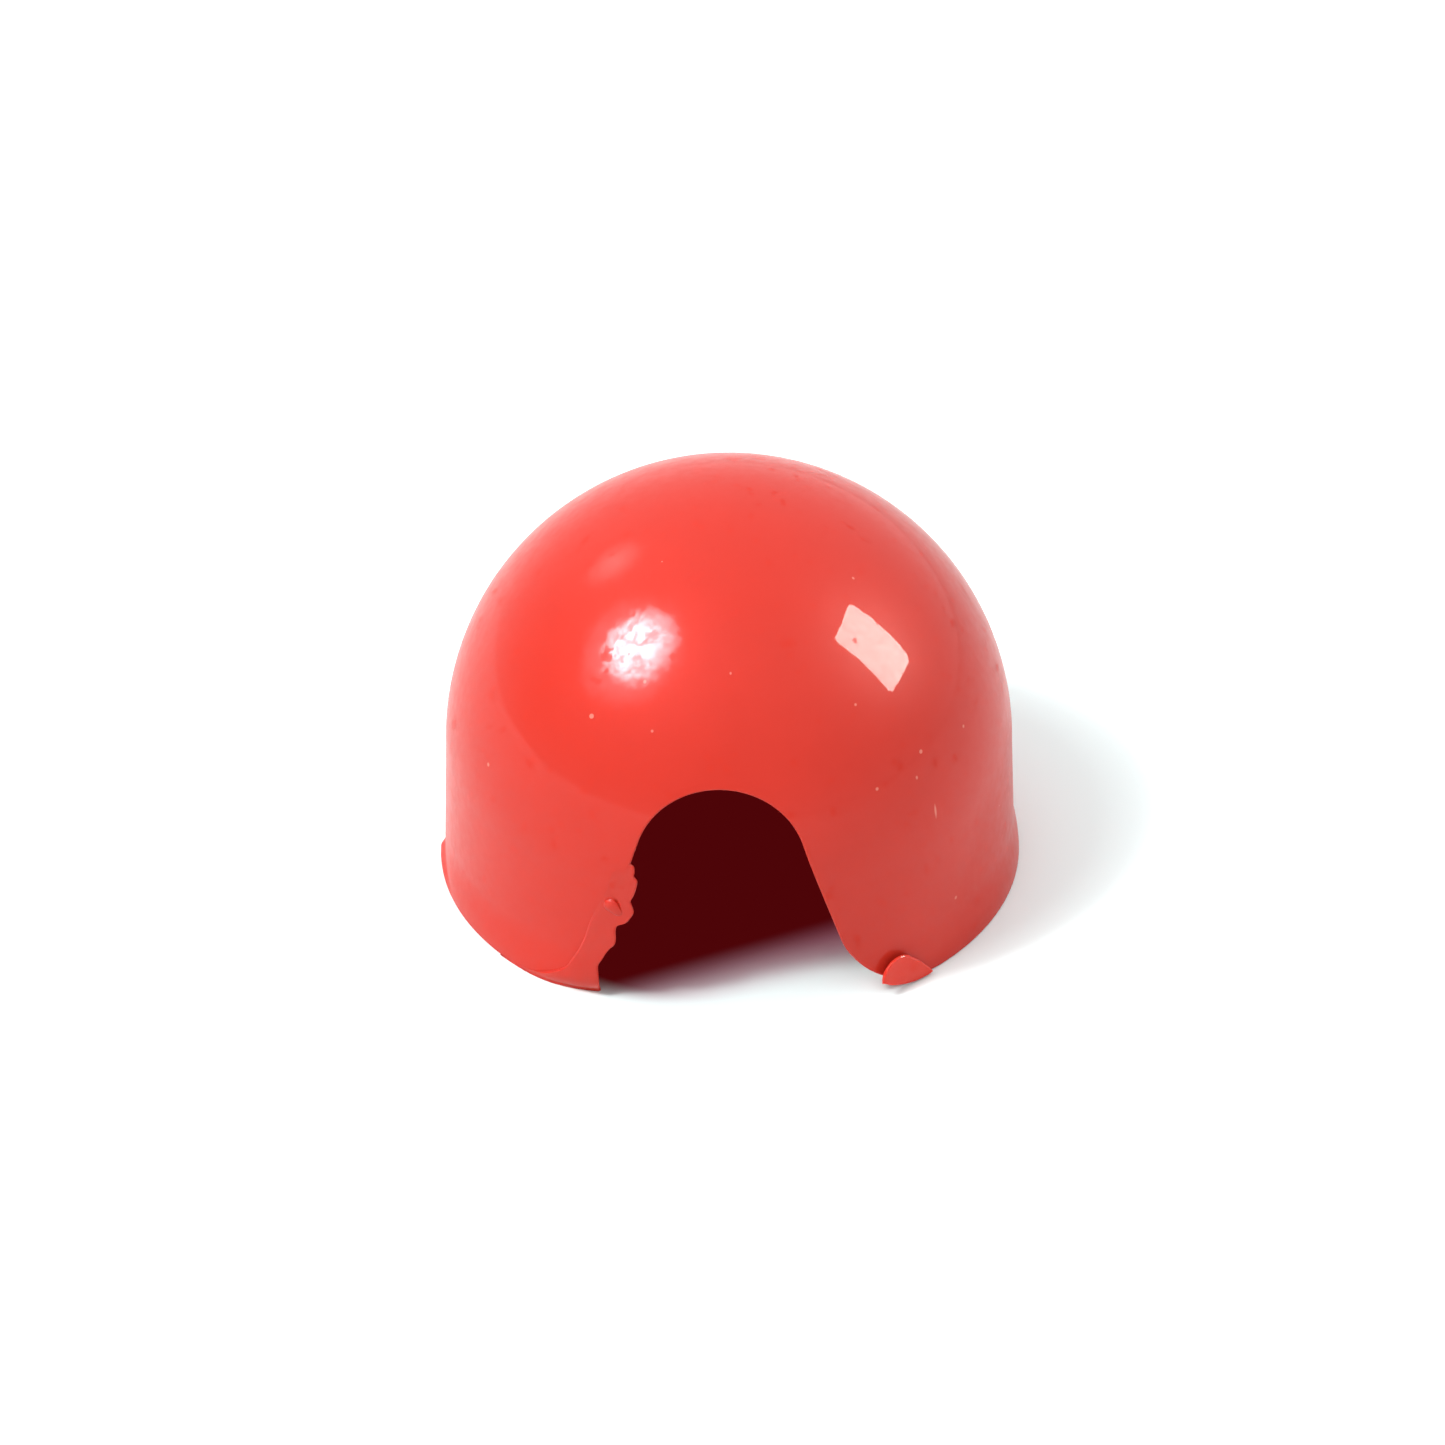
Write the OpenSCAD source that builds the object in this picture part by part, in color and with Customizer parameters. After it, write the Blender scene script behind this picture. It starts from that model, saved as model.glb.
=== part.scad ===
// Hollow rubber friction dome for opening screwed watch cases.
// It is one soft moulding: a spherical crown on a short flared skirt, with a
// lip round its base and an arched notch in its front wall. Mould flash is
// left on both feet of the arch: a torn film on the left, and on the right a
// small tab that is folded out and up against the wall.
// Millimetres. +Z is up, the dome's axis is Z, the base rests on Z = 0, and
// the arch faces -Y.

/* [Dome] */
// Outer radius of the spherical crown
crown_r = 29; // [26:0.5:32]
// Height of the spring line, where the crown meets the skirt
spring_z = 13.7; // [12:0.1:16]
// Thickness of the crown and the skirt
wall = 2; // [1.2:0.1:3]
// How much wider the skirt is above the lip than at the spring line
skirt_flare = 0.5; // [0.2:0.1:1]

/* [Base lip] */
// Height of the lip round the base
lip_h = 1; // [0.6:0.1:3]
// How far the lip stands out from the skirt
lip_proud = 0.5; // [0.3:0.05:1]
// Radius of the lip's rounded upper edge
lip_round = 0.3; // [0.2:0.05:0.5]

/* [Arch] */
// Radius of the round top of the arch
arch_r = 8.45; // [7:0.05:9]
// Height of the centre of the round top
arch_z = 16.8; // [15:0.1:18]
// Lean of each leg from the vertical
leg_lean = 17.7; // [12:0.1:20]
// Radius that rounds each leg out to the base
foot_r = 10.8; // [8:0.1:12]

/* [Flash film] */
// Thickness of the film left in the arch's left foot
film_t = 0.5; // [0.3:0.05:0.8]
// How far the film stands out from the wall's outer face
film_proud = 0.12; // [0.1:0.01:0.2]
// Lean of the film's left edge, which lies on the wall, from the vertical
ridge_lean = 15.2; // [12:0.1:20]
// Radius that rounds the film's left edge out to the base
ridge_foot_r = 12.5; // [10:0.1:14]
// Distance from the axis at which the film's left edge starts
ridge_x = 11.7; // [10:0.1:12]
// Height at which the film's left edge starts
ridge_z = 14; // [13:0.1:15]
// Distance from the axis of the film's free edge at the base
film_base_x = 12.3; // [11.5:0.1:13]
// Distance from the axis of the film's free edge at its top
film_top_x = 8.4; // [8:0.1:9]
// Radius of the rounded lobe halfway up the free edge
lobe_r = 1; // [0.6:0.1:1.2]
// Radius of the curl of film beside the lobe
curl_r = 0.75; // [0.5:0.05:0.9]

/* [Flash tab] */
// Thickness of the tab
tab_t = 0.4; // [0.3:0.05:0.6]
// Gap between the lip and the folded tab
tab_gap = 0.15; // [0.1:0.05:0.4]
// Bearing of the tab's middle, measured from +X towards -Y
tab_bearing = 51.3; // [48:0.1:55]

/* [Hidden] */
$fn = 96;
rubber_red = [0.93, 0.25, 0.2];
flash_red = [0.85, 0.3, 0.26];
skirt_r = crown_r + skirt_flare;
base_r = skirt_r + lip_proud;
reach = base_r + 5;
// How far the round feet dip below the base, so that they cross it cleanly
foot_sink = 0.05;
// How far a leg starts inside the round top, so that the two cross cleanly
leg_overlap = 0.01;
// The free edge's lobe and the curl: places across the arch and above the base
lobe_x = -9.75;
lobe_z = 10.75;
curl_x = -10.85;
curl_z = 11.65;
// Space behind the curl's flat back, so that it clears the curved film
curl_gap = 0.02;
// The tab is a leaf between two arcs, cut off square at its torn left end.
// Each arc is [distance along the lip, height, radius].
tab_top_arc = [-1.2, 0.1, 3.6];
tab_root_arc = [1, 8.4, 8.2];
tab_left = -3.75;

// The outer face's radius at a height on the skirt
function skirt_at(z) = skirt_r - skirt_flare * (z - lip_h) / (spring_z - lip_h);

// Half of the solid that fills the outer face, moved in by a distance
module half_profile(inset) {
    intersection() {
        translate([0, spring_z]) circle(crown_r - inset);
        translate([0, spring_z]) square(reach);
    }
    polygon([
        [0, 0],
        [skirt_r + skirt_flare * lip_h / (spring_z - lip_h) - inset, 0],
        [crown_r - inset, spring_z],
        [0, spring_z]
    ]);
}

// Half of the lip round the base, with its upper edge rounded
module half_lip() {
    square([base_r, lip_h - lip_round]);
    square([base_r - lip_round, lip_h]);
    translate([base_r - lip_round, lip_h - lip_round]) circle(lip_round);
}

// One leg of the opening, on the +X side: a straight edge through a point that
// leans outwards, rounded at its foot until it runs along the base
module leg(x, z, lean, foot_r) {
    foot_z = foot_r - foot_sink;
    foot_x = x + (foot_r + (z - foot_z) * sin(lean)) / cos(lean);
    tangent = [foot_x - foot_r * cos(lean), foot_z - foot_r * sin(lean)];
    difference() {
        polygon([[0, -1], [foot_x, -1], [foot_x, foot_z], tangent, [x, z], [0, z]]);
        translate([foot_x, foot_z]) circle(foot_r);
    }
}

// The leg that runs on from the round top
module straight_leg() {
    leg(arch_r * cos(leg_lean) - leg_overlap, arch_z + arch_r * sin(leg_lean), leg_lean, foot_r);
}

// The notch in the wall as seen from the front, before any flash fills it
module arch_outline() {
    translate([0, arch_z]) circle(arch_r);
    straight_leg();
    mirror([1, 0]) straight_leg();
}

// The film as seen from the front, between its left edge on the wall and its
// torn free edge
module film_outline() {
    notch_x = lobe_x - lobe_r * 0.65;
    intersection() {
        mirror([1, 0]) leg(ridge_x, ridge_z, ridge_lean, ridge_foot_r);
        union() {
            polygon([
                [-reach, 0],
                [-film_base_x, 0],
                [-film_base_x, lobe_z - 6.5],
                [notch_x, lobe_z - 3.7],
                [notch_x, lobe_z + 1.4],
                [-film_top_x - 0.5, lobe_z + 1.9],
                [-film_top_x, ridge_z],
                [-reach, ridge_z]
            ]);
            translate([lobe_x, lobe_z]) circle(lobe_r);
        }
    }
}

// Carries an outline on the XZ plane through the front wall
module through_front() {
    rotate([90, 0, 0]) linear_extrude(reach) children();
}

// The shape of the moulding: crown, skirt and lip, hollowed out and notched
module moulding() {
    difference() {
        rotate_extrude() difference() {
            union() {
                half_profile(0);
                half_lip();
            }
            half_profile(wall);
        }
        through_front() arch_outline();
    }
}

// The dome itself
module friction_dome() {
    color(rubber_red) moulding();
}

// The torn web in the arch's left foot, which laps onto the wall's outer face
module arch_flash_film() {
    color(flash_red) difference() {
        intersection() {
            rotate_extrude() difference() {
                half_profile(-film_proud);
                half_profile(film_t - film_proud);
            }
            through_front() film_outline();
        }
        moulding();
    }
}

// The curl that stands out from the film beside the lobe
module film_curl() {
    back_r = skirt_at(curl_z) + film_proud + curl_gap;
    color(flash_red)
        rotate([0, 0, asin(curl_x / back_r) - 90])
            translate([back_r, 0, curl_z])
                intersection() {
                    sphere(curl_r);
                    translate([0, -curl_r, -curl_r]) cube(2 * curl_r);
                }
}

// The leaf of film on the right foot, folded out and up against the wall
module foot_flash_tab() {
    color(flash_red)
        rotate([90, 0, 90 - tab_bearing])
            translate([0, 0, base_r + tab_gap]) linear_extrude(tab_t)
                intersection() {
                    translate([tab_top_arc[0], tab_top_arc[1]]) circle(tab_top_arc[2]);
                    translate([tab_root_arc[0], tab_root_arc[1]]) circle(tab_root_arc[2]);
                    translate([tab_left, 0]) square(reach);
                }
}

friction_dome();
arch_flash_film();
film_curl();
foot_flash_tab();
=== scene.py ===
"""Looks of the hollow red rubber friction dome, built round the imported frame.

Metres, +Z up. The dome's axis is Z, it rests on Z = 0 and its arched notch faces -Y.
"""
import math

import bpy
from mathutils import Matrix, Vector


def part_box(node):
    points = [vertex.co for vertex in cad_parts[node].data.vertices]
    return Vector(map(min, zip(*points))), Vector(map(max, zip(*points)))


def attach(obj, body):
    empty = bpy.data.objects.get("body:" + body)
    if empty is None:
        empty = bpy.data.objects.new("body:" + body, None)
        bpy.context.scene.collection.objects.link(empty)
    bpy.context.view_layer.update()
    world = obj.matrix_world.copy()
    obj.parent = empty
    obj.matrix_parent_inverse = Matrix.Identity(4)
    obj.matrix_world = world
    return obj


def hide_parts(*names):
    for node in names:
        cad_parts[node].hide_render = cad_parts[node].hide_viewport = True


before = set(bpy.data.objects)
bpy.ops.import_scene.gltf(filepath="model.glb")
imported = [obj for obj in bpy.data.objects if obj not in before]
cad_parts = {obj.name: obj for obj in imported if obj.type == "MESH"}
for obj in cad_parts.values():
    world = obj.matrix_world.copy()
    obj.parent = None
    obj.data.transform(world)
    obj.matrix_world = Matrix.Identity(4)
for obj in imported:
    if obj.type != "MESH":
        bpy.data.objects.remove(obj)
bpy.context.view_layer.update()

MM = 0.001

# ---- Sizes that the frame gives -------------------------------------------------------------
DOME_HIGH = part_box("friction_dome")[1]
BASE_R = DOME_HIGH.x
HEIGHT = DOME_HIGH.z

# ---- The moulding, as designed --------------------------------------------------------------
LIP_PROUD = 0.5 * MM
SKIRT_FLARE = 0.5 * MM
LIP_H = 1.0 * MM
LIP_BLEND = 0.8 * MM  # height over which the lip's step rounds in to the skirt
LIP_FADE = 5.0 * MM  # height over which the lip's flare fades out
LIP_STEP_COS = 0.93  # cosine of the angle from the left within which the flare turns to a step
LIP_END_SINES = (-0.035, 0.01)  # sines of the angles between which the step ends at the left
WALL = 2.0 * MM
CROWN_R = BASE_R - LIP_PROUD - SKIRT_FLARE
SPRING_Z = HEIGHT - CROWN_R
ARCH_R = 8.45 * MM
ARCH_Z = 16.8 * MM
LEG_LEAN = math.radians(17.7)
FOOT_R = 10.8 * MM
EDGE_ROUND = 0.2 * MM

# ---- The flash film, as designed ------------------------------------------------------------
FILM_T = 0.36 * MM
FILM_TOP = 17.2 * MM
FILM_FOOT_X = -20.0 * MM
FILM_PROUD = 0.27 * MM  # how far it stands out further near the base
FILM_EDGE = 0.18 * MM  # depth over which its edges are rounded
CURL_X = -10.85 * MM
CURL_Z = 11.65 * MM
CURL_R = 0.75 * MM
CURL_BULGE = 0.55  # height over radius
CURL_TAIL = math.radians(-42)
GROOVE_DEPTH = 0.22 * MM
GROOVE_WIDTH = 0.16 * MM
GROOVE_BEARING = math.radians(35)

# The film's two edges as (height, distance left of the axis), from the top down.
RIDGE_MM = (
    (17.2, 10.9), (14.0, 11.7), (10.4, 12.6), (8.5, 13.2), (7.0, 13.6), (5.5, 14.2), (4.1, 14.9),
    (2.8, 15.7), (1.9, 16.8), (0.9, 18.5), (0.5, 19.7), (0.3, 20.6), (0.0, 22.6),
)
TORN_EDGE_MM = (
    (17.2, 9.0), (16.8, 8.75), (16.6, 8.5), (16.0, 8.45), (15.5, 8.5), (15.1, 8.2), (14.7, 8.2),
    (14.0, 8.35), (13.2, 8.6), (12.5, 8.9), (12.1, 8.8), (11.4, 8.6), (11.0, 8.7), (10.6, 8.9),
    (9.9, 9.4), (9.4, 10.2), (8.8, 10.45), (7.8, 10.45), (7.0, 10.6), (6.5, 11.0), (5.7, 11.5),
    (4.9, 11.85), (4.0, 12.3), (2.9, 12.3), (0.0, 12.2),
)

# ---- The flash tab, as designed -------------------------------------------------------------
TAB_BEARING = math.radians(-51.3)
TAB_FACE_R = BASE_R + 0.15 * MM
TAB_T = 0.4 * MM
TAB_EDGE = 0.2 * MM  # depth over which its long edges are rounded
TAB_LEFT = -3.8 * MM
TAB_RIGHT = 2.72 * MM
TAB_CORNER_Z = 1.66 * MM  # height of the left end, where the two edges meet
TAB_PEAK = -0.1 * MM  # place along the tab where its two upper arcs meet
TAB_CURL = 0.12 * MM  # how far the left end stands off
TAB_LEAN = 0.05

# Arcs of its outline as (place along the tab, height, radius).
TAB_UPPER_LEFT_MM = (-1.53, 1.66, 2.28)
TAB_UPPER_RIGHT_MM = (-8.34, -7.24, 13.42)
TAB_ROOT_MM = (1.01, 8.35, 8.19)

# ---- Marks on the rubber --------------------------------------------------------------------
# Light nicks as (x, height, radius, shape). A shape of 1 is round, and a smaller one is drawn
# out upwards into a scratch.
NICKS_MM = (
    (-23.5, 20.5, 0.17, 1), (15.3, 23.1, 0.15, 1), (13.1, 30.8, 0.12, 1), (12.7, 38.4, 0.12, 0.6),
    (23.3, 6.4, 0.16, 1), (-6.7, 29.9, 0.12, 1), (0.9, 34.7, 0.09, 0.3), (23.8, 24.0, 0.14, 1),
    (19.2, 22.5, 0.12, 0.7), (21.1, 18.2, 0.12, 0.11), (-7.5, 33.5, 0.14, 0.7),
)
MARK_STRENGTH = 0.5

# ---- Colours --------------------------------------------------------------------------------
RED_RUBBER = (0.505, 0.0235, 0.012)
THIN_FLASH = (0.49, 0.027, 0.015)
# The folded tab's red is lighter than the film's: partly the paler stretched fold, partly painted
# light for the light that the tab's face catches.
FOLDED_FLASH_PAINTED_LIGHT = (0.62, 0.034, 0.018)
MARK = (0.75, 0.32, 0.24)
WHITE = (1, 1, 1)
LILAC_WHITE = (1, 0.9, 1)
WARM_WHITE = (1, 1, 0.93)
FLOOR_WHITE = (0.8, 0.9, 0.9)
# Painted shade on the floor under the dome: lilac at its edge, deep red where it is deepest.
PAINTED_SHADE_EDGE = (0.5, 0.12, 0.23)
PAINTED_SHADE_DEEP = (0.074, 0.0015, 0.0025)

# ---- Stage ----------------------------------------------------------------------------------
# Painted shade on the floor under the dome, a glow that stands in for the shadow there: the way it
# deepens, where along that way it starts and ends, and how far inside the wall's inner face its rim
# starts.
PAINTED_SHADE_BEARING = math.radians(117)
PAINTED_SHADE_START = -25.5 * MM
PAINTED_SHADE_END = -15.9 * MM
PAINTED_SHADE_RIM = 1.5 * MM
FLOOR_HALF = 3.0
LIGHTS_FAR = 1.2
KEY_DIRECTION = (-0.543, -0.227, 0.808)
FAINT_DIRECTION = (-0.565, 0.465, 0.681)
SQUARE_CORNERS = (
    (0.649, 0.224, 0.727), (0.914, 0.176, 0.366), (0.916, -0.124, 0.382), (0.638, -0.101, 0.763),
)

# ---- Camera: its view, and the point that it looks at ---------------------------------------
CAMERA_LENS = 141.45
CAMERA_SENSOR = 36
CAMERA_FAR = 0.58
AZIMUTH = math.radians(2.0627)
ELEVATION = math.radians(34.2)
ROLL = math.radians(-0.515)
AIM_Z = 17.4 * MM
AIM_LEFT = 0.6525 * MM
AIM_DOWN = 1.7255 * MM

# ---- Mesh density ---------------------------------------------------------------------------
BASE_SPOKES = 512
ARCH_SPOKES = 512
EDGE_STEPS = 6
CUT_STEPS = 4
LEAF_END_STEPS = 6
RIM_STEP = 0.1 * MM
RIM_STEPS = 32
FIELD_STEPS = 60
FEWEST_SPOKES = 64
FILM_ROWS = 170
FILM_COLUMNS = 60
TAB_ROWS = 90
TAB_COLUMNS = 24
CURL_RINGS = 14
CURL_SPOKES = 40
PANEL_CORNERS = 48


def smooth_step(low, high, value):
    """0 below low, 1 above high, and a smooth rise between them."""
    t = min(max((value - low) / (high - low), 0.0), 1.0)
    return t * t * (3 - 2 * t)


# ---- The dome's two faces -------------------------------------------------------------------
def skirt_radius(z):
    """Outer face's radius on the skirt, without the lip."""
    return BASE_R - LIP_PROUD - SKIRT_FLARE * (z - LIP_H) / (SPRING_Z - LIP_H)


def outer_radius(z, angle):
    """Outer face's radius at a height and an angle.

    The lip is a step at the left, where it breaks off, and a soft flare elsewhere.
    """
    if z >= SPRING_Z:
        return math.sqrt(max(CROWN_R**2 - (z - SPRING_Z) ** 2, 0.0))
    step = 1 - smooth_step(LIP_H - LIP_BLEND, LIP_H, z)
    flare = 1 - smooth_step(0, LIP_FADE, z)
    left = smooth_step(LIP_STEP_COS, 1.0, -math.cos(angle))
    behind = smooth_step(*LIP_END_SINES, math.sin(angle))
    share = (flare + (step - flare) * left) * (1 - left * behind)
    return skirt_radius(z) + (BASE_R - skirt_radius(z)) * share


def inner_radius(z):
    """Inner face's radius at a height, the same at every angle."""
    if z >= SPRING_Z:
        return math.sqrt(max((CROWN_R - WALL) ** 2 - (z - SPRING_Z) ** 2, 0.0))
    return skirt_radius(z) - WALL


def face_radius(z, angle, outside):
    """The outer or the inner face's radius."""
    return outer_radius(z, angle) if outside else inner_radius(z)


def meridian(distance, outside, angle):
    """Point (radius, z) and normal (radial, up) on a face, at an angle round the axis.

    The distance is from the pole and is measured along the outer face.
    """
    quarter = CROWN_R * math.pi / 2
    side = 1 if outside else -1
    if distance <= quarter:
        tilt = distance / CROWN_R
        crown_r = CROWN_R if outside else CROWN_R - WALL
        point = (crown_r * math.sin(tilt), SPRING_Z + crown_r * math.cos(tilt))
        return point, (side * math.sin(tilt), side * math.cos(tilt))
    z = SPRING_Z - (distance - quarter)
    step = 0.01 * MM
    above = face_radius(z + step, angle, outside)
    below = face_radius(z - step, angle, outside)
    slope = (above - below) / (2 * step)
    length = math.hypot(1, slope)
    return (face_radius(z, angle, outside), z), (side / length, -side * slope / length)


def meridian_distance(z, outside):
    """Distance from the pole, along the outer face, of the place at a height."""
    if z >= SPRING_Z:
        crown_r = CROWN_R if outside else CROWN_R - WALL
        return CROWN_R * math.acos(min((z - SPRING_Z) / crown_r, 1.0))
    return CROWN_R * math.pi / 2 + SPRING_Z - z


def on_wall(x, z, outside):
    """Point and normal of the front wall at a place seen from the front."""
    angle = -math.acos(x / BASE_R)
    (radius, _), (radial, up) = meridian(meridian_distance(z, outside), outside, angle)
    y = -math.sqrt(radius**2 - x**2)
    return Vector((x, y, z)), Vector((radial * x / radius, radial * y / radius, up))


# ---- The arch's outline ---------------------------------------------------------------------
def foot_centre():
    """Centre (x, z) of the rounding where the right leg meets the base."""
    top_x = ARCH_R * math.cos(LEG_LEAN)
    top_z = ARCH_Z + ARCH_R * math.sin(LEG_LEAN)
    reach = FOOT_R + (top_z - FOOT_R) * math.sin(LEG_LEAN)
    return Vector((top_x + reach / math.cos(LEG_LEAN), FOOT_R))


def arch_outline(share):
    """Place (x, z) and normal into the opening, from the arch's crown (0) to its right foot (1)."""
    lean = Vector((math.cos(LEG_LEAN), math.sin(LEG_LEAN)))
    top = Vector((0, ARCH_Z)) + ARCH_R * lean
    foot = foot_centre()
    tangent = foot - FOOT_R * lean
    turn = math.pi / 2 - LEG_LEAN
    crown_length, leg_length, foot_length = ARCH_R * turn, (tangent - top).length, FOOT_R * turn
    at = share * (crown_length + leg_length + foot_length)
    if at <= crown_length:
        angle = math.pi / 2 - at / ARCH_R
        out = Vector((math.cos(angle), math.sin(angle)))
        return Vector((0, ARCH_Z)) + ARCH_R * out, -out
    at -= crown_length
    if at <= leg_length:
        return top.lerp(tangent, at / leg_length), -lean
    angle = math.pi + LEG_LEAN + (at - leg_length) / FOOT_R
    out = Vector((math.cos(angle), math.sin(angle)))
    return foot + FOOT_R * out, out


# ---- Objects --------------------------------------------------------------------------------
def add_object(name, data):
    """A new object in the scene."""
    new_object = bpy.data.objects.new(name, data)
    bpy.context.scene.collection.objects.link(new_object)
    return new_object


def smooth_object(name, points, faces, material):
    """A smooth-shaded mesh object."""
    mesh = bpy.data.meshes.new(name)
    mesh.from_pydata(points, [], faces)
    mesh.materials.append(material)
    mesh.shade_smooth()
    return add_object(name, mesh)


# ---- The dome's mesh ------------------------------------------------------------------------
def fillet(edge, normal_a, normal_b):
    """Points and normals of the rounding between two faces that meet at an edge."""
    centre = edge - EDGE_ROUND * (normal_a + normal_b) / (1 + normal_a.dot(normal_b))
    angle = normal_a.angle(normal_b)
    arc = []
    for i in range(EDGE_STEPS + 1):
        t = i / EDGE_STEPS
        normal = math.sin((1 - t) * angle) * normal_a + math.sin(t * angle) * normal_b
        normal /= math.sin(angle)
        arc.append((centre + EDGE_ROUND * normal, normal))
    return arc


def edge_run(outer, inner, cut):
    """(point, normal) pairs over the shell's edge, from the outer face to the inner one."""
    over = fillet(*outer, cut)
    under = fillet(inner[0], cut, inner[1])
    start, end = over[-1][0], under[0][0]
    face = [(start.lerp(end, i / CUT_STEPS), cut) for i in range(1, CUT_STEPS)]
    return over + face + under


def edge_runs():
    """Edge runs all the way round, from the right foot: round the back, then over the arch."""
    foot_x = foot_centre().x
    runs = []
    for i in range(BASE_SPOKES):
        share = i / BASE_SPOKES
        sides = []
        for outside in (True, False):
            end_r = BASE_R if outside else inner_radius(0)
            start = math.atan2(-math.sqrt(end_r**2 - foot_x**2), foot_x)
            angle = start + share * (math.pi - 2 * start)
            out = Vector((math.cos(angle), math.sin(angle), 0))
            sides.append((face_radius(0, angle, outside) * out, out if outside else -out))
        runs.append(edge_run(*sides, Vector((0, 0, -1))))
    for i in range(ARCH_SPOKES):
        share = 2 * i / ARCH_SPOKES - 1
        side = math.copysign(1, share)
        place, into = arch_outline(abs(share))
        sides = [on_wall(side * place.x, place.y, outside) for outside in (True, False)]
        runs.append(edge_run(*sides, Vector((side * into.x, 0, into.y))))
    return runs


def field_rings(edge_points, outside):
    """Rings of (point, normal) up the meridians, from the edge to the pole.

    Every second spoke is left out each time the rings have closed enough.
    """
    spokes = [(math.atan2(p.y, p.x), meridian_distance(p.z, outside)) for p in edge_points]
    all_spokes = len(spokes)
    rings = []
    for i in range(1, RIM_STEPS + FIELD_STEPS + 1):
        left = 1 - max(i - RIM_STEPS, 0) / (FIELD_STEPS + 1)
        if len(spokes) > FEWEST_SPOKES and left < 0.75 * len(spokes) / all_spokes:
            spokes = spokes[::2]
        ring = []
        for angle, start in spokes:
            place = (start - RIM_STEP * min(i, RIM_STEPS)) * left
            (radius, z), (radial, up) = meridian(place, outside, angle)
            out = Vector((math.cos(angle), math.sin(angle), 0))
            ring.append((radius * out + Vector((0, 0, z)), radial * out + Vector((0, 0, up))))
        rings.append(ring)
    return rings


def faces_between(lower, upper):
    """Faces between two rings of vertex numbers. The upper has as many as the lower, or half."""
    n = len(lower)
    if len(upper) == n:
        return [(lower[i], lower[(i + 1) % n], upper[(i + 1) % n], upper[i]) for i in range(n)]
    faces = []
    for i in range(0, n, 2):
        left, right = upper[i // 2], upper[(i // 2 + 1) % len(upper)]
        faces.append((lower[i], lower[i + 1], left))
        faces.append((lower[i + 1], right, left))
        faces.append((lower[i + 1], lower[(i + 2) % n], right))
    return faces


def shell_faces(rings, poles):
    """Faces of a closed shell, from one pole's vertex over rings of vertices to the other pole's."""
    faces = []
    for upper, lower in zip(rings, rings[1:]):
        if len(lower) >= len(upper):
            faces += faces_between(lower, upper)
        else:
            faces += [face[::-1] for face in faces_between(upper, lower)]
    for ring, pole, turn in ((rings[0], poles[0], 1), (rings[-1], poles[1], -1)):
        n = len(ring)
        faces += [(ring[i], ring[(i + 1) % n], pole)[::turn] for i in range(n)]
    return faces


def dome_mesh(material):
    """The whole shell as one closed mesh: outer face, rounded edge and cut, inner face."""
    runs = edge_runs()
    outside = field_rings([run[0][0] for run in runs], True)[::-1]
    inside = field_rings([run[-1][0] for run in runs], False)
    edge = [[run[k] for run in runs] for k in range(len(runs[0]))]
    vertices, rings = [], []
    for ring in outside + edge + inside:
        rings.append(range(len(vertices), len(vertices) + len(ring)))
        vertices.extend(ring)
    poles = []
    for is_outside in (True, False):
        (radius, z), (radial, up) = meridian(0, is_outside, 0)
        poles.append(len(vertices))
        vertices.append((Vector((radius, 0, z)), Vector((radial, 0, up))))
    points, normals = zip(*vertices)
    dome = smooth_object("dome_shell", points, shell_faces(rings, poles), material)
    dome.data.normals_split_custom_set_from_vertices(normals)
    return dome


# ---- Thin leaves: the flash film and the flash tab ------------------------------------------
def leaf_mesh(name, sections, material):
    """A closed thin leaf from sections, each a row of (middle point, normal, half thickness)."""
    width = len(sections[0])
    points, faces = [], []
    for section in sections:
        front = [mid + normal * half for mid, normal, half in section]
        back = [mid - normal * half for mid, normal, half in section[1:-1]]
        points += front + back[::-1]
    n = 2 * width - 2
    for k in range(len(sections) - 1):
        for i in range(n):
            j = (i + 1) % n
            faces.append((k * n + i, k * n + j, (k + 1) * n + j, (k + 1) * n + i))
    for start, turn in ((0, -1), ((len(sections) - 1) * n, 1)):
        faces.append((start, start + 1, start + n - 1)[::turn])
        faces.append((start + width - 2, start + width - 1, start + width)[::turn])
        for i in range(1, width - 2):
            faces.append((start + i, start + i + 1, start + n - i - 1, start + n - i)[::turn])
    leaf = smooth_object(name, points, faces, material)
    leaf.data.set_sharp_from_angle(angle=math.radians(50))
    return leaf


def across(width, steps, end):
    """Places across a leaf from 0 to width, closer together over the rounded ends."""
    turns = [math.pi / 2 * i / LEAF_END_STEPS for i in range(LEAF_END_STEPS)]
    first = [end * (1 - math.cos(turn)) for turn in turns]
    middle = [end + (width - 2 * end) * i / steps for i in range(steps + 1)]
    return first + middle + [width - place for place in reversed(first)]


def rounding(depth, end):
    """Share of the full half thickness at a depth in from an edge that is rounded up to the end."""
    near = min(depth, end) / end
    return math.sqrt(max(1 - (1 - near) ** 2, 0.0))


def through(points_mm, z):
    """Distance left of the axis at a height, on a smooth curve through points from the top down."""
    points = [(high * MM, x * MM) for high, x in points_mm]
    k = next(i for i in range(len(points) - 1) if z >= points[i + 1][0])
    (z0, x0), (z1, x1) = points[k], points[k + 1]
    before, after = points[max(k - 1, 0)], points[min(k + 2, len(points) - 1)]
    t = (z - z0) / (z1 - z0)
    slope0 = (x1 - before[1]) / (z1 - before[0]) * (z1 - z0)
    slope1 = (after[1] - x0) / (after[0] - z0) * (z1 - z0)
    rise = t * t * (3 - 2 * t)
    return x0 + (x1 - x0) * rise + slope0 * t * (1 - t) ** 2 - slope1 * t * t * (1 - t)


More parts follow.
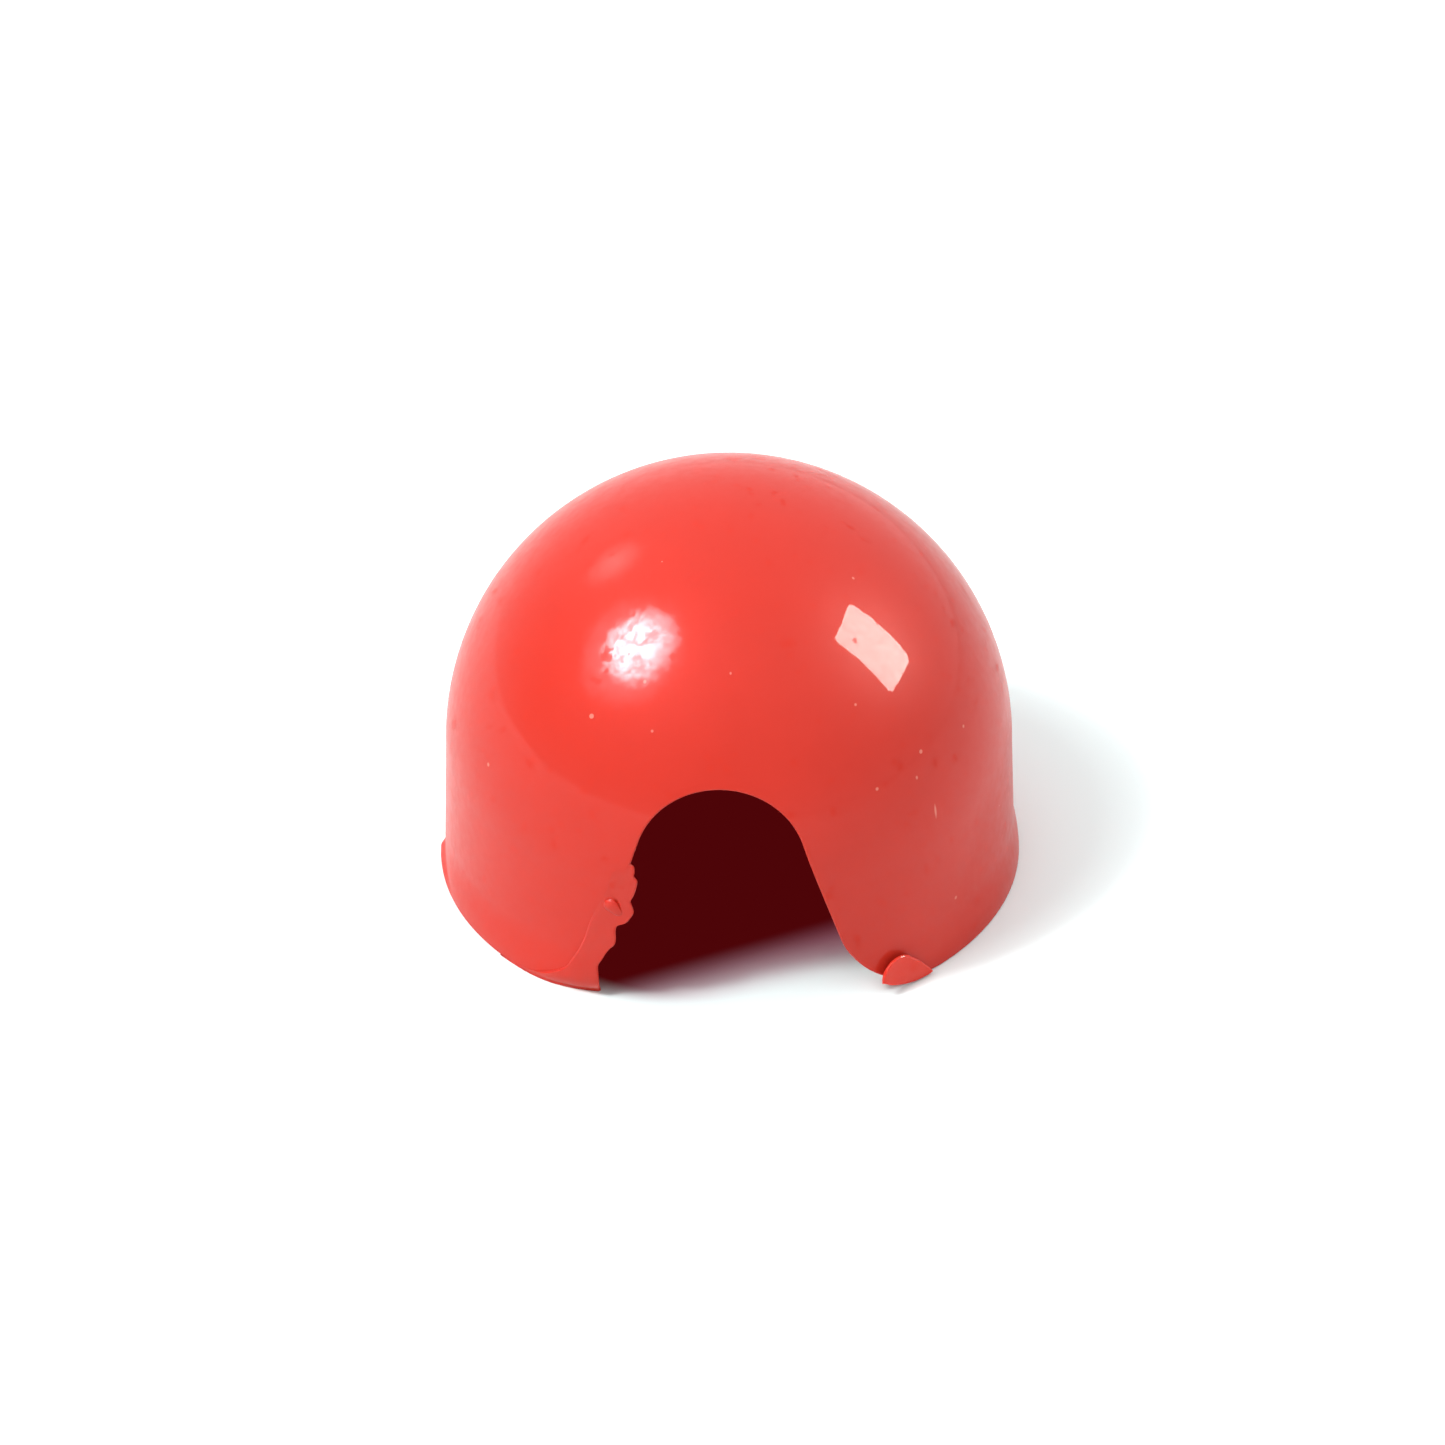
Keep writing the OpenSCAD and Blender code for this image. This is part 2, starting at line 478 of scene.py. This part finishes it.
def film_offset(x, z, left):
    """How far the film's front stands out from the wall's own face at a place.

    It is flush at the top, stands out near the base, bends in from its left edge towards the torn
    one, and has a groove round the curl.
    """
    flush = 0.03 * MM - 0.06 * MM * smooth_step(15.2 * MM, FILM_TOP, z)
    low = 1 - smooth_step(4 * MM, 13 * MM, z)
    off_end = smooth_step(FILM_FOOT_X, 0.85 * FILM_FOOT_X, x)
    off_floor = smooth_step(-1 * MM, 2 * MM, z)
    proud = flush + FILM_PROUD * low * off_end * off_floor
    from_ridge = max(x - max(left, FILM_FOOT_X), 0)
    bend = 0.05 * MM * (from_ridge / MM) ** 1.7 * (1 - smooth_step(0, 9 * MM, z))
    away = Vector((x - CURL_X, z - CURL_Z))
    groove = math.exp(-(((away.length - 1.05 * CURL_R) / GROOVE_WIDTH) ** 2))
    facing = 0.5 + 0.5 * math.cos(math.atan2(away.y, away.x) - GROOVE_BEARING)
    return proud - bend - GROOVE_DEPTH * groove * facing**2


def flash_film(material):
    """The web of flash over the arch's left leg: laid onto the wall, and torn on its free side."""
    sections = []
    for k in range(FILM_ROWS + 1):
        z = FILM_TOP * (1 - k / FILM_ROWS)
        left = -through(RIDGE_MM, z)
        width = -through(TORN_EDGE_MM, z) - left
        ridge_end = FILM_EDGE + 1.4 * MM * smooth_step(8 * MM, 14.5 * MM, z)
        section = []
        for place in across(width, FILM_COLUMNS, FILM_EDGE):
            x = left + place
            half = FILM_T / 2 * rounding(place, ridge_end) * rounding(width - place, FILM_EDGE)
            wall_r = outer_radius(z, -math.acos(x / BASE_R))
            mid_r = wall_r + film_offset(x, z, left) - FILM_T / 2
            y = -math.sqrt(mid_r**2 - x**2)
            section.append((Vector((x, y, z)), Vector((x, y, 0)) / mid_r, half))
        sections.append(section)
    return leaf_mesh("flash_film", sections, material)


def flash_curl(material):
    """The low bead where the film has rolled up on itself, with a tail towards the torn edge."""
    rings, spokes = CURL_RINGS, CURL_SPOKES
    front = [((k + 1) / rings, 1) for k in range(rings)]
    back = [((rings - 1 - k) / rings, -1) for k in range(rings - 1)]
    points, faces = [], []
    for t, face in front + back:
        for j in range(spokes):
            turn = 2 * math.pi * j / spokes
            tail = max(math.cos(turn - CURL_TAIL), 0) ** 6
            reach = t * CURL_R * (1 + 0.9 * tail)
            x, z = CURL_X + reach * math.cos(turn), CURL_Z + reach * math.sin(turn)
            middle, normal = on_wall(x, z, True)
            lift = face * CURL_R * (CURL_BULGE - 0.25 * tail * t) * math.sqrt(max(1 - t * t, 0))
            points.append(middle + normal * lift)
    for k in range(2 * rings - 2):
        for j in range(spokes):
            a, b = k * spokes + j, k * spokes + (j + 1) % spokes
            faces.append((a + spokes, b + spokes, b, a))
    middle, normal = on_wall(CURL_X, CURL_Z, True)
    for start, face in ((0, 1), ((2 * rings - 2) * spokes, -1)):
        pole = len(points)
        points.append(middle + normal * face * CURL_BULGE * CURL_R)
        faces += [(start + j, start + (j + 1) % spokes, pole)[::face] for j in range(spokes)]
    return smooth_object("flash_curl", points, faces, material)


def on_arc(arc_mm, s, half):
    """Height of the upper (1) or lower (-1) half of a circle at a place along the tab."""
    middle, height, radius = (value * MM for value in arc_mm)
    return height + half * math.sqrt(max(radius**2 - (s - middle) ** 2, 0.0))


def tab_top(s):
    """Height of the tab's top edge at a place along it."""
    return on_arc(TAB_UPPER_LEFT_MM if s < TAB_PEAK else TAB_UPPER_RIGHT_MM, s, 1)


def tab_bottom(s):
    """Height of the tab's bottom edge at a place along it."""
    opened = math.sqrt(min((s - TAB_LEFT) / (0.8 * MM), 1.0))
    return TAB_CORNER_Z - (TAB_CORNER_Z - on_arc(TAB_ROOT_MM, s, -1)) * opened


def flash_tab(material):
    """The leaf of flash folded up against the lip, standing off the wall at its left end."""
    out = Vector((math.cos(TAB_BEARING), math.sin(TAB_BEARING), 0))
    along = Vector((-out.y, out.x, 0))
    sections = []
    for k in range(TAB_ROWS + 1):
        share = 0.5 - 0.5 * math.cos(math.pi * (k + 0.2) / (TAB_ROWS + 0.4))
        s = TAB_LEFT + (TAB_RIGHT - TAB_LEFT) * share
        low, high = tab_bottom(s), tab_top(s)
        ends = math.sqrt(min((s - TAB_LEFT) / (0.25 * MM), (TAB_RIGHT - s) / (0.4 * MM), 1.0))
        rim = min(TAB_EDGE, 0.45 * (high - low))
        section = []
        for place in across(high - low, TAB_COLUMNS, rim):
            z = low + place
            half = TAB_T / 2 * rounding(min(place, high - low - place), rim) * ends
            lean_off = TAB_CURL * (min(s, 0) / TAB_LEFT) ** 2 - TAB_LEAN * z
            middle = out * (TAB_FACE_R + TAB_T / 2 + lean_off) + along * s + Vector((0, 0, z))
            section.append((middle, out, half))
        sections.append(section[::-1])
    return leaf_mesh("flash_tab_leaf", sections, material)


# ---- Materials ------------------------------------------------------------------------------
def add_node(tree, kind, settings=(), inputs=()):
    """A new node with its settings and its inputs, each a value or another node's output."""
    node = tree.nodes.new(kind)
    for name, value in settings:
        setattr(node, name, value)
    for name, value in inputs:
        if isinstance(value, bpy.types.NodeSocket):
            tree.links.new(value, node.inputs[name])
        else:
            node.inputs[name].default_value = value
    return node


def math_node(tree, operation, a, b):
    """The result of an operation on two numbers."""
    return add_node(tree, "ShaderNodeMath", [("operation", operation)], [(0, a), (1, b)]).outputs[0]


def vector_node(tree, operation, output, *vectors):
    """The result of an operation on one or two vectors, from the output of that name."""
    node = add_node(tree, "ShaderNodeVectorMath", [("operation", operation)], enumerate(vectors))
    return node.outputs[output]


def opaque(colour):
    """A colour with full alpha."""
    return tuple(colour) + (1,)


def blended(tree, share, colour_0, colour_1):
    """The first colour at a share of 0, the second at 1, and a mix between them."""
    inputs = [(0, share), (6, colour_0), (7, colour_1)]  # 6 and 7 are the mix node's two colours
    return add_node(tree, "ShaderNodeMix", [("data_type", "RGBA")], inputs).outputs[2]


def empty_material(name):
    """A new material. Gives it, its empty node tree and the object's own space."""
    material = bpy.data.materials.new(name)
    material.use_nodes = True
    tree = material.node_tree
    tree.nodes.clear()
    return material, tree, add_node(tree, "ShaderNodeTexCoord").outputs["Object"]


def noise(tree, place, scale, detail):
    """A noise value from 0 to 1 in the object's own space."""
    inputs = [("Vector", place), ("Scale", scale), ("Detail", detail)]
    return add_node(tree, "ShaderNodeTexNoise", (), inputs).outputs["Fac"]


def ranged(tree, value, low, high, to_low, to_high):
    """A value mapped from one range to another, held at the ends."""
    inputs = [("Value", value), ("From Min", low), ("From Max", high)]
    inputs += [("To Min", to_low), ("To Max", to_high)]
    return add_node(tree, "ShaderNodeMapRange", (), inputs).outputs["Result"]


def within(tree, place, centre, radius, shape):
    """1 inside a spot and 0 outside it. It is drawn out upwards when its shape is under 1."""
    offset = vector_node(tree, "SUBTRACT", "Vector", place, centre)
    offset = vector_node(tree, "MULTIPLY", "Vector", offset, (1, 1, shape))
    away = vector_node(tree, "LENGTH", "Value", offset)
    return ranged(tree, away, 0.6 * radius, 1.5 * radius, 1, 0)


def scattered(tree, place, scale, lumps, radius):
    """1 inside small spots that lie about in loose groups, and 0 elsewhere."""
    inputs = [("Vector", place), ("Scale", scale), ("Randomness", 1)]
    cells = add_node(tree, "ShaderNodeTexVoronoi", (), inputs)
    size = ranged(tree, noise(tree, place, lumps, 2), 0.5, 0.75, 0.0, radius)
    return math_node(tree, "LESS_THAN", cells.outputs["Distance"], size)


def pale_marks(tree, place, nicked):
    """Strength of the pale marks: dust everywhere, and the nicks where the piece has them."""
    marks = scattered(tree, place, scale=210, lumps=90, radius=0.09)
    if nicked:
        for x, z, radius, shape in NICKS_MM:
            centre = on_wall(x * MM, z * MM, True)[0]
            nick = within(tree, place, centre, radius * MM, shape)
            marks = math_node(tree, "MAXIMUM", marks, nick)
    return math_node(tree, "MULTIPLY", marks, MARK_STRENGTH)


def mottled(tree, place, colour):
    """A colour with faint lighter and darker clouds."""
    dark = opaque(c * 0.95 for c in colour)
    light = opaque(min(c * 1.04, 1.0) for c in colour)
    return blended(tree, noise(tree, place, 130, 3), dark, light)


def rippled(tree, place):
    """The normal of a skin with soft ripples and a fine grain."""
    grain = math_node(tree, "MULTIPLY", noise(tree, place, 2600, 2), 0.1)
    waves = math_node(tree, "ADD", grain, noise(tree, place, 420, 2))
    inputs = [("Strength", 0.35), ("Distance", 0.02 * MM), ("Height", waves)]
    return add_node(tree, "ShaderNodeBump", (), inputs).outputs[0]


def red_rubber(name, colour, thin):
    """Glossy red rubber: a broad sheen under a sharp skin, mottled, with dull pores and marks."""
    material, tree, place = empty_material(name)
    tint = mottled(tree, place, colour)
    ripples = rippled(tree, place)
    marks = pale_marks(tree, place, not thin)
    pores = scattered(tree, place, scale=900, lumps=500, radius=0.6)
    dull = math_node(tree, "MAXIMUM", pores, marks)
    inputs = [
        ("Base Color", blended(tree, marks, tint, opaque(MARK))),
        ("Roughness", ranged(tree, noise(tree, place, 900, 3), 0.3, 0.7, 0.38, 0.46)),
        ("IOR", 1.5),
        ("Normal", ripples),
        ("Coat Normal", ripples),
        ("Coat Weight", ranged(tree, dull, 0, 1, 0.33, 0.1)),
        ("Specular IOR Level", 0.08),
        ("Coat Roughness", 0.025),
        ("Coat IOR", 1.5),
        ("Subsurface Weight", 0.6 if thin else 0.0),
        ("Subsurface Radius", (1.0, 0.25, 0.2)),
        ("Subsurface Scale", 0.6 * MM),
    ]
    skin = add_node(tree, "ShaderNodeBsdfPrincipled", (), inputs)
    add_node(tree, "ShaderNodeOutputMaterial", (), [("Surface", skin.outputs[0])])
    return material


# ---- Panels, which only reflections see -----------------------------------------------------
def glow_material(name, colour):
    """A clear glowing material. Gives it, its node tree, its own space and the glow's strength."""
    material, tree, place = empty_material(name)
    glow = add_node(tree, "ShaderNodeEmission", (), [("Color", opaque(colour))])
    clear = add_node(tree, "ShaderNodeBsdfTransparent")
    both = add_node(tree, "ShaderNodeAddShader", (), [(0, glow.outputs[0]), (1, clear.outputs[0])])
    add_node(tree, "ShaderNodeOutputMaterial", (), [("Surface", both.outputs[0])])
    return material, tree, place, glow.inputs["Strength"]


def even_glow(name, strength, colour):
    """A nearly even light panel."""
    material, tree, place, level = glow_material(name, colour)
    uneven = ranged(tree, noise(tree, place, 9, 4), 0.35, 0.65, 0.85 * strength, 1.15 * strength)
    tree.links.new(uneven, level)
    return material


def faded(tree, place, centre, start, end, high):
    """A round glow about a centre: high up to the start radius, then ragged and 0 by the end."""
    offset = vector_node(tree, "SUBTRACT", "Vector", place, centre)
    away = vector_node(tree, "LENGTH", "Value", offset)
    ragged = ranged(tree, noise(tree, place, 6, 4), 0.3, 0.7, -0.09, 0.09)
    return ranged(tree, math_node(tree, "ADD", away, ragged), start, end, high, 0)


def faint_glow(name, strength, colour):
    """A dim light panel that fades out from its centre."""
    material, tree, place, level = glow_material(name, colour)
    tree.links.new(faded(tree, place, (0, 0, 0), start=0, end=0.85, high=strength), level)
    return material


def main_glow(name, colour):
    """The main panel: a wide dim halo, a pale disc, and a broken white middle on its left."""
    material, tree, place, level = glow_material(name, colour)
    fine = math_node(tree, "MULTIPLY", noise(tree, place, 15, 4), noise(tree, place, 6, 3))
    broken = ranged(tree, fine, 0.16, 0.29, 0, 1)
    halo = faded(tree, place, (-0.1, 0, -0.1), start=0.4, end=0.85, high=7)
    disc = faded(tree, place, (0, 0, 0), start=0.38, end=0.6, high=24)
    middle = faded(tree, place, (-0.1, 0, 0.05), start=0.3, end=0.5, high=60)
    whole = math_node(tree, "ADD", halo, disc)
    whole = math_node(tree, "ADD", whole, math_node(tree, "MULTIPLY", middle, broken))
    tree.links.new(whole, level)
    return material


def cut_corners(corners, share):
    """A polygon's corners, each cut off at a share of its two sides."""
    cut = []
    for k, corner in enumerate(corners):
        here = Vector(corner)
        for other in (corners[k - 1], corners[(k + 1) % len(corners)]):
            cut.append(here.lerp(Vector(other), share))
    return cut


def panel(name, corners, material):
    """A flat light panel. Its corners are directions from the middle of the dome's spring line."""
    origin = Vector((0, 0, SPRING_Z))
    points = [origin + LIGHTS_FAR * Vector(corner).normalized() for corner in corners]
    middle = sum(points, Vector()) / len(points)
    spread = max((point - middle).length for point in points)
    mesh = bpy.data.meshes.new(name)
    mesh.from_pydata([(p - middle) / spread for p in points], [], [tuple(range(len(points)))])
    mesh.materials.append(material)
    light = add_object(name, mesh)
    light.location = middle
    light.scale = (spread, spread, spread)
    light.visible_camera = False
    light.visible_diffuse = False
    light.visible_shadow = False
    light.visible_transmission = False


def round_panel(name, direction, half_angle, material):
    """A round panel in a direction from the dome."""
    axis = Vector(direction).normalized()
    side = axis.cross(Vector((0, 0, 1))).normalized()
    up = side.cross(axis)
    corners = []
    for k in range(PANEL_CORNERS):
        turn = 2 * math.pi * k / PANEL_CORNERS
        corners.append(axis + math.tan(half_angle) * (math.cos(turn) * side + math.sin(turn) * up))
    panel(name, corners, material)


# ---- Lights, floor and surround -------------------------------------------------------------
def key_light(direction, energy, size):
    """A round light in a direction from the base. It isn't mirrored, because the panels are."""
    data = bpy.data.lights.new("key", "AREA")
    data.shape = "DISK"
    data.size = size
    data.energy = energy
    light = add_object("key", data)
    light.location = LIGHTS_FAR * Vector(direction).normalized()
    light.rotation_euler = Vector(direction).to_track_quat("Z", "Y").to_euler()
    light.visible_glossy = False


def smooth_range(tree, value, low, high, to_low, to_high):
    """A value mapped from one range to another, with soft ends."""
    result = ranged(tree, value, low, high, to_low, to_high)
    result.node.interpolation_type = "SMOOTHSTEP"
    return result


def floor_material():
    """Matt white, and under the dome a painted shade: a deep red glow past the light that comes in
    at the arch.
    """
    material, tree, place = empty_material("floor_with_painted_shade")
    inner_r = inner_radius(0)
    flat = vector_node(tree, "MULTIPLY", "Vector", place, (1, 1, 0))
    radius = vector_node(tree, "LENGTH", "Value", flat)
    # Where the painted shade lies: inside the wall's foot, deepening away from the arch.
    under = smooth_range(tree, radius, inner_r - PAINTED_SHADE_RIM, inner_r + WALL, 1, 0)
    inward = (math.cos(PAINTED_SHADE_BEARING), math.sin(PAINTED_SHADE_BEARING), 0)
    depth = vector_node(tree, "DOT_PRODUCT", "Value", place, inward)
    shade = smooth_range(tree, depth, PAINTED_SHADE_START, PAINTED_SHADE_END, 0, 1)
    shaded = math_node(tree, "MULTIPLY", under, shade)
    white = add_node(tree, "ShaderNodeBsdfDiffuse", (), [("Color", opaque(FLOOR_WHITE))])
    # Painted shade: a glow that is lilac at its edge and deep red deeper in, standing in for the
    # shadow under the dome.
    deep = blended(tree, shade, opaque(PAINTED_SHADE_EDGE), opaque(PAINTED_SHADE_DEEP))
    red = add_node(tree, "ShaderNodeEmission", (), [("Color", deep)])
    inputs = [(0, shaded), (1, white.outputs[0]), (2, red.outputs[0])]
    both = add_node(tree, "ShaderNodeMixShader", (), inputs)
    add_node(tree, "ShaderNodeOutputMaterial", (), [("Surface", both.outputs[0])])
    return material


def floor_with_painted_shade():
    """The sweep that the dome stands on, with the painted shade under the dome."""
    sides = ((-1, -1), (1, -1), (1, 1), (-1, 1))
    mesh = bpy.data.meshes.new("floor")
    mesh.from_pydata([(FLOOR_HALF * x, FLOOR_HALF * y, 0) for x, y in sides], [], [(0, 1, 2, 3)])
    mesh.materials.append(floor_material())
    add_object("floor", mesh)


def white_world():
    """A white studio surround, brightest overhead and behind, with a glow at the horizon."""
    world = bpy.data.worlds.new("surround")
    bpy.context.scene.world = world
    world.use_nodes = True
    tree = world.node_tree
    tree.nodes.clear()
    direction = add_node(tree, "ShaderNodeTexCoord").outputs["Generated"]
    parts = add_node(tree, "ShaderNodeSeparateXYZ", (), [(0, direction)])
    right, ahead, above = (math_node(tree, "MAXIMUM", out, 0) for out in parts.outputs)
    front = math_node(tree, "MAXIMUM", math_node(tree, "MULTIPLY", parts.outputs["Y"], -1), 0)
    horizon = math_node(tree, "POWER", math_node(tree, "SUBTRACT", 1, above), 6)
    overhead = math_node(tree, "POWER", above, 3)
    shares = (
        (above, 0.72), (overhead, 0.3), (horizon, 0.6), (right, 0.48), (ahead, 0.95), (front, 0.45),
    )
    level = 0.0
    for part, share in shares:
        level = math_node(tree, "ADD", math_node(tree, "MULTIPLY", part, share), level)
    inputs = [("Color", opaque(WHITE)), ("Strength", level)]
    sky = add_node(tree, "ShaderNodeBackground", (), inputs)
    add_node(tree, "ShaderNodeOutputWorld", (), [("Surface", sky.outputs[0])])


# ---- Camera ---------------------------------------------------------------------------------
def add_camera():
    """The product view: from the front and above, on a long lens."""
    data = bpy.data.cameras.new("camera")
    data.lens = CAMERA_LENS
    data.sensor_width = CAMERA_SENSOR
    rise = math.sin(ELEVATION)
    right = Vector((math.cos(AZIMUTH), math.sin(AZIMUTH), 0))
    up = Vector((-math.sin(AZIMUTH) * rise, math.cos(AZIMUTH) * rise, math.cos(ELEVATION)))
    back = right.cross(up)
    aim = Vector((0, 0, AIM_Z)) - AIM_LEFT * right - AIM_DOWN * up
    x_axis = math.cos(ROLL) * right + math.sin(ROLL) * up
    y_axis = math.cos(ROLL) * up - math.sin(ROLL) * right
    turn = Matrix((x_axis, y_axis, back)).transposed().to_4x4()
    camera = add_object("camera", data)
    camera.matrix_world = Matrix.Translation(aim + CAMERA_FAR * back) @ turn
    bpy.context.scene.camera = camera


# ---- Build ----------------------------------------------------------------------------------
def build_object():
    """The four pieces, each standing for its CAD node."""
    rubber = red_rubber("red_rubber", RED_RUBBER, thin=False)
    thin_rubber = red_rubber("thin_flash", THIN_FLASH, thin=True)
    # A lighter copy of the thin flash, partly painted light for the tab's lit face.
    folded_rubber_painted_light = red_rubber("folded_flash_painted_light", FOLDED_FLASH_PAINTED_LIGHT, thin=True)
    pieces = (
        (dome_mesh(rubber), "friction_dome", "dome", "red_rubber"),
        (flash_film(thin_rubber), "arch_flash_film", "dome", "thin_flash"),
        (flash_curl(thin_rubber), "film_curl", "dome", "thin_flash"),
        (flash_tab(folded_rubber_painted_light), "foot_flash_tab", "flash_tab", "thin_flash"),
    )
    for piece, node, body, slot in pieces:
        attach(piece, body)
        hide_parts(node)


def build_stage():
    """Floor, surround, two key lights and the three panels that the gloss mirrors."""
    floor_with_painted_shade()
    white_world()
    key_light(KEY_DIRECTION, energy=7.6, size=0.5)
    key_light(KEY_DIRECTION, energy=5.5, size=0.14)
    main = main_glow("main_glow", LILAC_WHITE)
    faint = faint_glow("faint_glow", 5.5, WHITE)
    square = even_glow("square_glow", 34, WARM_WHITE)
    round_panel("round_panel", KEY_DIRECTION, math.radians(26), main)
    round_panel("faint_panel", FAINT_DIRECTION, math.radians(12), faint)
    panel("square_panel", cut_corners(SQUARE_CORNERS, 0.06), square)


build_object()
build_stage()
add_camera()
bpy.context.scene.view_settings.view_transform = "Standard"
